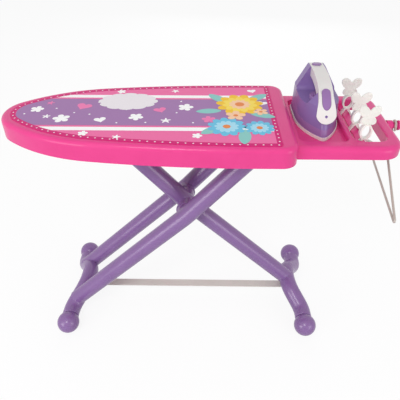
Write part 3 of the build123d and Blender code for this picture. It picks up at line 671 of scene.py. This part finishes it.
BOUQUET = (
    Run("print_leaves", Layer.PLAQUE_AND_LEAVES, Ink.LEAF_GREEN, (
        Stamp(Motif.LEAF, 26, 62, 26, 130), Stamp(Motif.LEAF, 104, 66, 26, 40),
        Stamp(Motif.LEAF, 16, -70, 26, 215), Stamp(Motif.LEAF, 70, -94, 26, 265),
        Stamp(Motif.LEAF, 108, -12, 24, -20), Stamp(Motif.LEAF, 8, 4, 24, 185),
    )),
    Run("print_sky_blossoms", Layer.PETALS, Ink.SKY, (
        Stamp(Motif.BLOSSOM, 40, -58, 35, 0), Stamp(Motif.BLOSSOM, 98, -62, 27, 15),
    )),
    Run("print_sky_hearts", Layer.INNER_PETALS, Ink.PALE_SKY, (
        Stamp(Motif.BLOSSOM, 40, -58, 22, 12), Stamp(Motif.BLOSSOM, 98, -62, 17, 5),
    )),
    Run("print_gold_blossom", Layer.PETALS, Ink.GOLD, (Stamp(Motif.BLOSSOM, 68, 34, 46, 8),)),
    Run("print_gold_ring", Layer.INNER_PETALS, Ink.PALE_GOLD, (
        Stamp(Motif.BLOSSOM, 68, 34, 34, 24),
    )),
    Run("print_peach_blossoms", Layer.SMALL_BLOSSOMS, Ink.PEACH, (
        Stamp(Motif.BLOSSOM, 68, 34, 21, 0), Stamp(Motif.FLOWER, 58, -14, 19, 12),
        Stamp(Motif.FLOWER, 106, 2, 14, 40),
    )),
    Run("print_centres", Layer.CENTRES, Ink.ORANGE, (
        Stamp(Motif.DOT, 68, 34, 9), Stamp(Motif.DOT, 40, -58, 7), Stamp(Motif.DOT, 98, -62, 5.5),
        Stamp(Motif.DOT, 58, -14, 4.5), Stamp(Motif.DOT, 106, 2, 3.5),
    ), points_each=40),
)


@dataclass
class PrintedCover:
    """The cover's print, as layers of film on the CAD sheet: stripes, a dotted border and motifs.

    The sheet's outline is three tangent arcs from the nose, a straight side, a rounded corner and a
    square end, as in the CAD model, so its radii repeat that model's, and its sweeps are the ones
    that the model's radii give.
    """

    wardrobe: Wardrobe
    nose_radius_mm: float = 50.0
    nose_sweep_deg: float = 50.0
    shoulder_radius_mm: float = 300.0
    shoulder_sweep_deg: float = 32.0
    corner_radius_mm: float = 7.0
    least_corner_mm: float = 0.5
    arc_points: tuple[int, int, int] = (40, 40, 20)
    side_points: int = 60
    corner_points: int = 12
    end_points: int = 30
    border_mm: float = 9.8
    dot_inset_mm: float = 4.9
    dot_mm: float = 3.1
    dot_pitch_mm: float = 13.0
    dot_points: int = 12
    stripe_mm: tuple[float, float] = (62.0, 75.0)
    field_edge_mm: float = 56.0
    blunt_tip_mm: float = 0.01
    band_points: int = 160
    layer_mm: float = 0.05
    body: str = "board"

    def __post_init__(self) -> None:
        """Takes the sheet's ends, width and height from the frame."""
        low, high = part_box("printed_cover")
        self.nose_mm, self.end_mm = low.x / MM, high.x / MM
        self.half_width_mm = (high.y - low.y) / 2 / MM
        self.top = high.z

    def arcs(self) -> list[tuple[float, float, int]]:
        """Works out the outline's three arcs, which turn it by a right angle between them.

        The third arc's radius is what is left of the half width once the first two have risen.

        Returns:
            Each arc's radius in millimetres, its sweep in degrees and its number of points.
        """
        bend = math.radians(self.nose_sweep_deg)
        turned = math.radians(self.nose_sweep_deg + self.shoulder_sweep_deg)
        shoulder_rise = self.shoulder_radius_mm * (math.sin(turned) - math.sin(bend))
        rise = self.nose_radius_mm * math.sin(bend) + shoulder_rise
        side_radius = (self.half_width_mm - rise) / (1 - math.sin(turned))
        side_sweep = 90 - self.nose_sweep_deg - self.shoulder_sweep_deg
        radii = (self.nose_radius_mm, self.shoulder_radius_mm, side_radius)
        sweeps = (self.nose_sweep_deg, self.shoulder_sweep_deg, side_sweep)
        return list(zip(radii, sweeps, self.arc_points))

    def half_outline(self, inset_mm: float) -> np.ndarray:
        """Works out the far half of the outline, some way inside the sheet's edge.

        A point that turns right along an arc of radius r and has turned to heading h lies at the
        arc's centre plus r times (-sin h, cos h).

        Args:
            inset_mm: The distance inside the sheet's edge.

        Returns:
            Points in millimetres from the nose, round the far side, to the middle of the square end.
        """
        place, heading = np.array([self.nose_mm + inset_mm, 0.0]), math.pi / 2
        rows = []
        for edge_radius, sweep, count in self.arcs():
            radius = edge_radius - inset_mm
            centre = place + radius * np.array([math.sin(heading), -math.cos(heading)])
            angles = np.linspace(heading, heading - math.radians(sweep), count)
            rows.append(centre + radius * np.column_stack((-np.sin(angles), np.cos(angles))))
            place, heading = rows[-1][-1], angles[-1]
        end, side = self.end_mm - inset_mm, place[1]
        corner = max(self.corner_radius_mm - inset_mm, self.least_corner_mm)
        along = np.linspace(place[0], end - corner, self.side_points)
        rows.append(np.column_stack((along, np.full_like(along, side))))
        angles = np.linspace(0, -math.pi / 2, self.corner_points)
        middle = np.array([end - corner, side - corner])
        rows.append(middle + corner * np.column_stack((-np.sin(angles), np.cos(angles))))
        across = np.linspace(side - corner, 0, self.end_points)
        rows.append(np.column_stack((np.full_like(across, end), across)))
        return np.concatenate(rows)

    def film(
        self, name: str, flat_mm: np.ndarray, faces: np.ndarray, layer: Layer, ink: Ink
    ) -> None:
        """Makes one colour of the print as a flat piece that rides on the board.

        Args:
            name: The piece's name.
            flat_mm: Points in the sheet's plane.
            faces: Rows of point numbers, counterclockwise from above.
            layer: Where the film lies in the stack.
            ink: Its colour.
        """
        height = np.full(len(flat_mm), self.top + layer * self.layer_mm * MM)
        piece = mesh_piece(name, np.column_stack((flat_mm * MM, height)), faces)
        self.wardrobe.dress(piece, PrintedFilm(f"{name} ink on vinyl", ink.value))
        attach(piece, self.body)
        log.info("%s: %d faces", name, len(faces))

    def bands(self) -> None:
        """Fills the sheet inside its border with the colour of the outer bands."""
        far = self.half_outline(self.border_mm)
        points, faces = strip_between(far * (1, -1), far)
        self.film("print_bands", points, faces, Layer.BANDS, Ink.BAND_PINK)

    def stripe(self, name: str, inner_mm: float, outer_mm: float, ink: Ink) -> None:
        """Prints a stripe along the board on each side of its middle line.

        Each starts where the print's edge reaches the stripe's inner side. A stripe from the middle
        line starts where the nose is a hair wide, so that no face has a side of length zero.

        Args:
            name: The piece's name.
            inner_mm: The distance of its inner side from the middle line.
            outer_mm: The distance of its outer side, which the print's edge cuts short.
            ink: Its colour.
        """
        far = self.half_outline(self.border_mm)
        rising = far[: int(np.argmax(far[:, 1])) + 1]
        start = np.interp(max(inner_mm, self.blunt_tip_mm), rising[:, 1], rising[:, 0])
        along = np.linspace(start, far[:, 0].max(), self.band_points)
        edge = np.interp(along, rising[:, 0], rising[:, 1])
        outer = np.column_stack((along, np.minimum(edge, outer_mm)))
        inner = np.column_stack((along, np.full_like(along, inner_mm)))
        points, faces = strip_between(inner, outer)
        both_points = np.concatenate((points, points * (1, -1)))
        both_faces = np.concatenate((faces, faces[:, ::-1] + len(points)))
        self.film(name, both_points, both_faces, Layer.STRIPES, ink)

    def border_dots(self) -> Run:
        """Places dots evenly along the middle of the border, all the way round.

        Returns:
            The dots, ready to print.
        """
        far = self.half_outline(self.dot_inset_mm)
        ring = np.concatenate((far, far[::-1][1:-1] * (1, -1), far[:1]))
        travel = np.concatenate(([0.0], np.cumsum(np.hypot(*np.diff(ring, axis=0).T))))
        count = round(travel[-1] / self.dot_pitch_mm)
        at = (np.arange(count) + 0.5) * travel[-1] / count
        middles = np.column_stack([np.interp(at, travel, ring[:, i]) for i in (0, 1)])
        dots = [Stamp(Motif.DOT, x, y, self.dot_mm / 2) for x, y in middles]
        return Run("print_border_dots", Layer.STRIPES, Ink.DOT_ROSE, dots, self.dot_points)

    def stamp(self, run: Run) -> None:
        """Prints motifs of one colour, each as a fan of triangles round its middle.

        Args:
            run: The motifs, and how they are printed.
        """
        rim = np.arange(run.points_each)
        hub = np.zeros_like(rim)
        fan = np.column_stack((hub, 1 + rim, 1 + (rim + 1) % run.points_each))
        points_mm = np.concatenate([stamp.fan_mm(run.points_each) for stamp in run.stamps])
        starts = np.arange(len(run.stamps)) * (run.points_each + 1)
        faces = (fan[None] + starts[:, None, None]).reshape(-1, 3)
        self.film(run.name, points_mm, faces, run.layer, run.ink)

    def build(self) -> None:
        """Prints the whole cover."""
        self.bands()
        self.stripe("print_white_stripes", *self.stripe_mm, Ink.WHITE)
        self.stripe("print_purple_field", 0.0, self.field_edge_mm, Ink.FIELD_PURPLE)
        for run in (self.border_dots(), *LOOSE_MOTIFS, *BOUQUET):
            self.stamp(run)


@dataclass
class ButtonSprings:
    """The coil springs under the iron's two buttons."""

    wardrobe: Wardrobe
    wire_mm: float = 0.7
    turns: float = 4.0
    stroke_mm: float = 1.5
    rings: int = 97
    points_round: int = 12
    body: str = "iron"
    joints: Mapping[str, str] = field(default_factory=lambda: {
        "iron_thumb_spring": "thumb_press",
        "iron_spray_spring": "spray_press",
    })

    def coil(self, low: Vector, high: Vector) -> tuple[np.ndarray, np.ndarray]:
        """Carries a round wire along a helix that fills a box, and closes its two ends.

        The line is (R cos t, R sin t, climb t). With n outward from the spring's axis and b square
        to n and to the line, a point of the wire's skin lies at the line plus r (cos u n + sin u b).

        Args:
            low: The box's lowest corner.
            high: The box's highest corner.

        Returns:
            Points in metres, and triangles.
        """
        wire = self.wire_mm * MM / 2
        radius = (high.x - low.x) / 2 - wire
        climb = (high.z - low.z - 2 * wire) / (FULL_TURN * self.turns)
        t, u = np.meshgrid(
            np.linspace(0, FULL_TURN * self.turns, self.rings),
            np.linspace(0, FULL_TURN, self.points_round, endpoint=False),
            indexing="ij",
        )
        outward = np.stack((np.cos(t), np.sin(t), np.zeros_like(t)), axis=-1)
        square = np.stack(
            (-climb * np.sin(t), climb * np.cos(t), np.full_like(t, -radius)), axis=-1
        ) / math.hypot(radius, climb)
        foot = np.array([(low.x + high.x) / 2, (low.y + high.y) / 2, low.z + wire])
        line = foot + np.stack((radius * np.cos(t), radius * np.sin(t), climb * t), axis=-1)
        round_it = np.cos(u)[..., None] * outward + np.sin(u)[..., None] * square
        points = np.concatenate(((line + wire * round_it).reshape(-1, 3), line[[0, -1], 0]))
        rim = np.arange(self.points_round)
        rim_after = (rim + 1) % self.points_round
        last_ring = (self.rings - 1) * self.points_round
        first_middle = np.full_like(rim, len(points) - 2)
        return points, np.concatenate((
            skin_triangles(self.rings, self.points_round),
            np.column_stack((first_middle, rim_after, rim)),
            np.column_stack((first_middle + 1, last_ring + rim, last_ring + rim_after)),
        ))

    def build(self) -> None:
        """Puts a coil spring in place of each rigid one."""
        for node, joint in self.joints.items():
            low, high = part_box(node)
            points, triangles = self.coil(low, high)
            spring = mesh_piece(f"{node}_coil", points, triangles, smooth=True)
            self.wardrobe.dress(spring, Finish.STEEL.value)
            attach(spring, self.body)
            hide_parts(node)
            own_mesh(spring)


@dataclass(frozen=True)
class Wing:
    """One oval of a butterfly's wing, seen from the front: its middle from the body's, and size."""

    across_mm: float
    up_mm: float
    half_length_mm: float
    half_height_mm: float
    tilt_deg: float

    def top_mm(self) -> float:
        """Works out how high it reaches.

        The top of an ellipse that is tilted lies at the root of the summed squares of its half
        length times the tilt's sine and its half height times the tilt's cosine.

        Returns:
            The height of its top above the butterfly's middle.
        """
        tilt = math.radians(self.tilt_deg)
        return self.up_mm + math.hypot(
            self.half_length_mm * math.sin(tilt), self.half_height_mm * math.cos(tilt)
        )


@dataclass
class WingRelief:
    """The raised lines on both faces of each peg's butterfly wings, ovals that follow the wings.

    The wings are the CAD model's ovals, so their sizes repeat that model's. Half of each round line
    is sunk in its face.
    """

    wardrobe: Wardrobe
    upper: Wing = Wing(
        across_mm=9.0, up_mm=8.0, half_length_mm=11.5, half_height_mm=8.3, tilt_deg=48.0
    )
    lower: Wing = Wing(
        across_mm=5.8, up_mm=-8.0, half_length_mm=8.5, half_height_mm=7.0, tilt_deg=-50.0
    )
    wing_depth_mm: float = 3.0
    line_radius_mm: float = 0.5
    line_shares: tuple[float, float] = (0.74, 0.36)
    rings: int = 48
    points_round: int = 8
    bodies: Mapping[str, str] = field(default_factory=lambda: {
        "clip_back": "back_clip",
        "clip_middle": "middle_clip",
        "clip_front": "front_clip",
    })

    def oval(self, wing: Wing, share: float) -> tuple[np.ndarray, np.ndarray]:
        """Carries a round line along an oval inside a wing, in the wing's plane y = 0.

        The oval turned by its tilt is (a cos t, b sin t). With n outward in its plane, a point of
        the line's skin lies at the oval plus r (cos u n + sin u y).

        Args:
            wing: The wing that the oval follows.
            share: The oval's size as a share of the wing's.

        Returns:
            Points in metres from the butterfly's middle, and triangles.
        """
        t, u = np.meshgrid(
            np.linspace(0, FULL_TURN, self.rings, endpoint=False),
            np.linspace(0, FULL_TURN, self.points_round, endpoint=False),
            indexing="ij",
        )
        a, b = wing.half_length_mm * share, wing.half_height_mm * share
        outward = np.stack((b * np.cos(t), a * np.sin(t)), axis=-1)
        outward /= np.linalg.norm(outward, axis=-1, keepdims=True)
        line = np.stack((a * np.cos(t), b * np.sin(t)), axis=-1)
        skin = line + self.line_radius_mm * np.cos(u)[..., None] * outward
        flat = skin @ turned_axes(wing.tilt_deg) + (wing.across_mm, wing.up_mm)
        depth = self.line_radius_mm * np.sin(u)
        points = np.stack((flat[..., 0], depth, flat[..., 1]), axis=-1).reshape(-1, 3) * MM
        return points, skin_triangles(self.rings, self.points_round, closed=True)

    def lines(self) -> tuple[np.ndarray, np.ndarray]:
        """Gathers one butterfly's lines: on both wings of a side, on both sides and both faces.

        A line is mirrored to the other side by turning its x and each triangle's order round.

        Returns:
            Points in metres from the butterfly's middle, and triangles.
        """
        rows, faces, count = [], [], 0
        half_depth = self.wing_depth_mm * MM / 2
        for wing in (self.upper, self.lower):
            for share in self.line_shares:
                points, triangles = self.oval(wing, share)
                for side, facing in ((1, triangles), (-1, triangles[:, ::-1])):
                    for face in (-half_depth, half_depth):
                        rows.append(points * (side, 1, 1) + (0, face, 0))
                        faces.append(facing + count)
                        count += len(points)
        return np.concatenate(rows), np.concatenate(faces)

    def build(self) -> None:
        """Puts the lines on the three pegs, from each peg's middle and top in the frame."""
        points, triangles = self.lines()
        for node, body in self.bodies.items():
            low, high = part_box(node)
            middle_height = high.z - self.upper.top_mm() * MM
            middle = ((low.x + high.x) / 2, (low.y + high.y) / 2, middle_height)
            relief = mesh_piece(f"{node}_relief", points + middle, triangles, smooth=True)
            self.wardrobe.dress(relief, Finish.CLIP_WHITE.value)
            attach(relief, body)
            log.info("%s: %d triangles", relief.name, len(triangles))


@dataclass
class CadDressing:
    """Gives each CAD node the finish of the real piece, by the first start of a name that fits."""

    wardrobe: Wardrobe
    finishes: Mapping[str, Finish] = field(default_factory=lambda: {
        "board_shell": Finish.BOARD_PINK,
        "hanger_peg": Finish.BOARD_PINK,
        "hinge_bracket": Finish.BOARD_PINK,
        "slide_rail": Finish.BOARD_PINK,
        "printed_cover": Finish.COVER_SHEET,
        "hinge_axle": Finish.STEEL,
        "inner_slide_bar": Finish.STEEL,
        "bracket_screws": Finish.STEEL,
        "rail_screws": Finish.STEEL,
        "iron_screws": Finish.STEEL,
        "iron_thumb_spring": Finish.STEEL,
        "iron_spray_spring": Finish.STEEL,
        "outer_": Finish.LEG_PURPLE,
        "inner_": Finish.LEG_PURPLE,
        "pivot_pin": Finish.LEG_PURPLE,
        "strap_": Finish.LEG_PURPLE,
        "link_strap": Finish.PALE_GREY,
        "clothes_hanger": Finish.WARM_GREY,
        "clip_": Finish.CLIP_WHITE,
        "iron_soleplate": Finish.SOLE_WHITE_PAINTED_LIGHT,
        "iron_handle": Finish.IRON_WHITE,
        "iron_skirt": Finish.IRON_PURPLE,
        "iron_dial": Finish.IRON_PURPLE,
        "iron_body": Finish.IRON_DEEP,
        "iron_thumb_button": Finish.IRON_PURPLE,
        "iron_spray_button": Finish.IRON_PURPLE,
        "iron_spray_nozzle": Finish.IRON_DEEP,
    })

    def build(self, nodes: Mapping[str, bpy.types.Object]) -> None:
        """Dresses every CAD node.

        Args:
            nodes: The frame's nodes by name.
        """
        for name, node in nodes.items():
            finish = next(f for start, f in self.finishes.items() if name.startswith(start))
            self.wardrobe.dress(node, finish.value)
            log.info("%s: %s", name, finish.value.name)


@dataclass(frozen=True)
class Lamp:
    """One soft square lamp. One that isn't mirrored lights a glossy surface and adds no highlight."""

    name: str
    place: tuple[float, float, float]
    side: float
    watts: float
    mirrored: bool = True

    def build(self, aim: Vector) -> None:
        """Hangs the lamp where it belongs.

        Args:
            aim: The point that it faces.
        """
        data = bpy.data.lights.new(self.name, "AREA")
        data.shape, data.size, data.energy = "SQUARE", self.side, self.watts
        lamp = bpy.data.objects.new(self.name, data)
        place = Vector(self.place)
        turn = (aim - place).to_track_quat("-Z", "Y").to_matrix().to_4x4()
        lamp.matrix_world = Matrix.Translation(place) @ turn
        lamp.visible_glossy = self.mirrored
        bpy.context.scene.collection.objects.link(lamp)


@dataclass(frozen=True)
class Studio:
    """A white floor and surround, four soft lamps and the camera.

    The back lamp lights the far sides. It isn't mirrored, so that the flat tops in front of it keep
    their colour.
    """

    eye: tuple[float, float, float] = (0.0044, -0.7598, 0.8657)
    pitch_deg: float = 37.0
    yaw_radians: float = 0.0170
    roll_radians: float = 0.0016
    lens_mm: float = 39.63
    sensor_mm: float = 36.0
    clip_range: tuple[float, float] = (0.01, 50.0)
    floor_size: float = 12.0
    floor_colour: str = "#FBFBFC"
    floor_bounce_colour: str = "#C4C4C7"
    floor_glow_share: float = 0.88
    sky_seen: float = 0.96
    sky_strength: float = 0.6
    aim: tuple[float, float, float] = (0.0, 0.0, 0.35)
    lamps: tuple[Lamp, ...] = (
        Lamp("front_lamp", (-0.5, -1.7, 2.1), side=0.7, watts=18.0),
        Lamp("left_lamp", (-1.6, -1.5, 0.6), side=1.0, watts=15.0),
        Lamp("right_lamp", (1.6, -1.5, 0.6), side=1.0, watts=11.0),
        Lamp("back_lamp", (0.3, 2.3, 1.1), side=1.6, watts=10.0, mirrored=False),
    )

    def camera(self) -> None:
        """Stands the camera where the photograph was taken from.

        The view line points down by the pitch and left by the yaw. Right is level, and both turn
        about the view line by the roll.
        """
        down, left, roll = math.radians(self.pitch_deg), self.yaw_radians, self.roll_radians
        ahead = Vector((
            -math.sin(left) * math.cos(down), math.cos(left) * math.cos(down), -math.sin(down)
        ))
        right = Vector((math.cos(left), math.sin(left), 0.0))
        below = ahead.cross(right)
        right_rolled = right * math.cos(roll) + below * math.sin(roll)
        below_rolled = below * math.cos(roll) - right * math.sin(roll)
        turn = Matrix((right_rolled, -below_rolled, -ahead)).transposed().to_4x4()
        data = bpy.data.cameras.new("studio_camera")
        data.lens, data.sensor_width, data.sensor_fit = self.lens_mm, self.sensor_mm, "HORIZONTAL"
        data.clip_start, data.clip_end = self.clip_range
        camera = bpy.data.objects.new("studio_camera", data)
        camera.matrix_world = Matrix.Translation(Vector(self.eye)) @ turn
        bpy.context.scene.collection.objects.link(camera)
        bpy.context.scene.camera = camera

    def seen_rays(self, tree: bpy.types.NodeTree) -> bpy.types.NodeSocket:
        """Tells the rays that end up in the picture from those that only carry light.

        Args:
            tree: The node tree that asks.

        Returns:
            1 for rays from the camera, or through gloss or glass, and 0 for the rest.
        """
        path = add_node(tree, "ShaderNodeLightPath")
        seen = path.outputs["Is Camera Ray"]
        for kind in ("Is Glossy Ray", "Is Transmission Ray"):
            either = add_node(
                tree, "ShaderNodeMath", {"operation": "MAXIMUM"}, {0: seen, 1: path.outputs[kind]}
            )
            seen = either.outputs["Value"]
        return seen

    def world(self) -> None:
        """Makes a surround that is white to look at and plain in the light it gives."""
        world = bpy.data.worlds.new("studio_surround")
        world.use_nodes = True
        tree = world.node_tree
        tree.nodes.clear()
        strength = add_node(
            tree, "ShaderNodeMapRange", {"To Min": self.sky_strength, "To Max": self.sky_seen},
            {"Value": self.seen_rays(tree)},
        )
        light = add_node(
            tree, "ShaderNodeBackground", {"Color": FULL_WHITE},
            {"Strength": strength.outputs["Result"]},
        )
        add_node(tree, "ShaderNodeOutputWorld", None, {"Surface": light.outputs["Background"]})
        bpy.context.scene.world = world

    def floor(self) -> None:
        """Lays a wide, matt, white floor under the feet.

        It is bright to look at, and its paper still takes the object's shadow. The light that it
        throws back is plain paper's, a shade darker.
        """
        half = self.floor_size / 2
        corners = np.array([(-half, -half, 0), (half, -half, 0), (half, half, 0), (-half, half, 0)])
        floor = mesh_piece("studio_floor", corners, np.array([[0, 1, 2, 3]]))
        material, tree = new_material("matt white studio paper")
        paper, bounce = (
            add_node(tree, "ShaderNodeBsdfDiffuse", {"Color": linear(colour)})
            for colour in (self.floor_colour, self.floor_bounce_colour)
        )
        glow = add_node(tree, "ShaderNodeEmission", {"Color": FULL_WHITE, "Strength": 1.0})
        seen = add_node(
            tree, "ShaderNodeMixShader", {BLEND_FACTOR: self.floor_glow_share},
            {BLEND_FIRST: paper.outputs["BSDF"], BLEND_SECOND: glow.outputs["Emission"]},
        )
        either = add_node(
            tree, "ShaderNodeMixShader", None,
            {
                BLEND_FACTOR: self.seen_rays(tree), BLEND_FIRST: bounce.outputs["BSDF"],
                BLEND_SECOND: seen.outputs["Shader"],
            },
        )
        add_node(tree, "ShaderNodeOutputMaterial", None, {"Surface": either.outputs["Shader"]})
        floor.data.materials.append(material)

    def build(self) -> None:
        """Sets up the whole studio."""
        bpy.context.scene.view_settings.view_transform = "Standard"
        self.world()
        self.floor()
        for lamp in self.lamps:
            lamp.build(Vector(self.aim))
        self.camera()
        log.info("studio ready")


def main() -> None:
    """Builds the picture in order."""
    logging.basicConfig(level=logging.INFO, format="%(message)s")
    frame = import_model()
    wardrobe = Wardrobe()
    CadDressing(wardrobe).build(frame["nodes"])
    PrintedCover(wardrobe).build()
    ButtonSprings(wardrobe).build()
    WingRelief(wardrobe).build()
    Studio().build()


if __name__ == "__main__":
    main()
